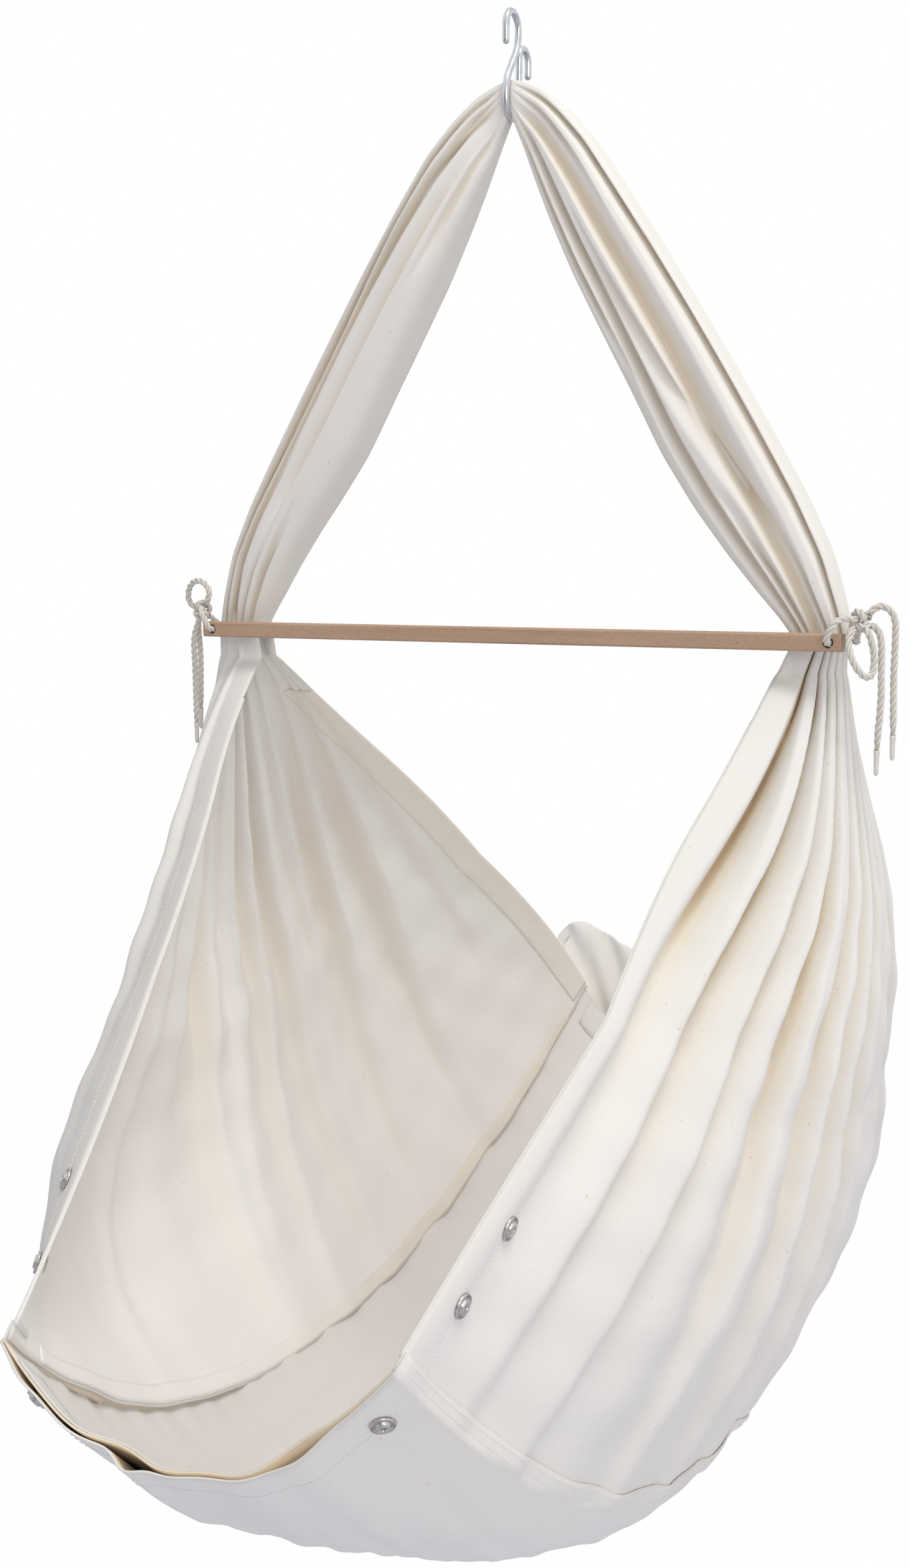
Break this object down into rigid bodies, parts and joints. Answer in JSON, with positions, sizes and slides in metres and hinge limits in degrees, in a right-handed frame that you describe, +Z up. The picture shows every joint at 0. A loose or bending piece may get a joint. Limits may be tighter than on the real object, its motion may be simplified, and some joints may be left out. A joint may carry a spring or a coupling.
{
  "type": "hanging baby cradle",
  "caption": "Boat-shaped cotton sling cradle hung by one cloth band from an S-hook, spread by a square wooden bar tied on with rope, with a mattress pocket under the lying surface.",
  "frame": {"origin": "The point inside the upper bend of the S-hook that rests on whatever carries the cradle.", "axes": "+X runs along the spreader bar to its right end, +Y points to the head end with the raised lip, and +Z is up."},
  "size_m": [0.6762, 1.0814, 1.3167],
  "materials": {
    "cotton": "undyed woven cotton cloth, matt",
    "rope": "twisted three-strand cotton rope, undyed",
    "beech": "planed and sanded beech, oiled",
    "zinc": "bright zinc-plated steel wire",
    "nickel": "nickel-plated press studs"
  },
  "bodies": {
    "hook": {"s_hook": "zinc"},
    "crown": {"crown_band": "cotton"},
    "sling": {"spreader_bar": "beech", "left_leg": "cotton", "right_leg": "cotton", "left_wall": "cotton", "right_wall": "cotton", "left_wall_near_hem": "cotton", "left_wall_far_hem": "cotton", "right_wall_near_hem": "cotton", "right_wall_far_hem": "cotton", "base_panel": "cotton", "base_panel_near_hem": "cotton", "base_panel_far_hem": "cotton", "base_cover": "cotton", "left_seam_fell": "cotton", "right_seam_fell": "cotton", "left_tie_rope": "rope", "left_knot": "rope", "right_tie_rope": "rope", "right_knot": "rope", "left_bow_loop": "rope", "right_bow_loop": "rope", "left_tail_outer": "rope", "left_tail_outer_tip": "rope", "left_tail_inner": "rope", "left_tail_inner_tip": "rope", "right_tail_outer": "rope", "right_tail_outer_tip": "rope", "right_tail_inner": "rope", "right_tail_inner_tip": "rope", "left_stud_1": "nickel", "left_stud_2": "nickel", "left_stud_3": "nickel", "right_stud_1": "nickel", "right_stud_2": "nickel", "right_stud_3": "nickel", "left_stud_cap_1": "nickel", "left_stud_cap_2": "nickel", "left_stud_cap_3": "nickel", "right_stud_cap_1": "nickel", "right_stud_cap_2": "nickel", "right_stud_cap_3": "nickel"}
  },
  "joints": [
    {"name": "side_swing", "type": "hinge", "parent": "hook", "child": "crown", "pos_m": [0, 0.001, -0.082], "axis": [0, 1, 0], "range_deg": [-15, 15]},
    {"name": "length_swing", "type": "hinge", "parent": "crown", "child": "sling", "pos_m": [0, 0.001, -0.069], "axis": [1, 0, 0], "range_deg": [-25, 25]}
  ]
}
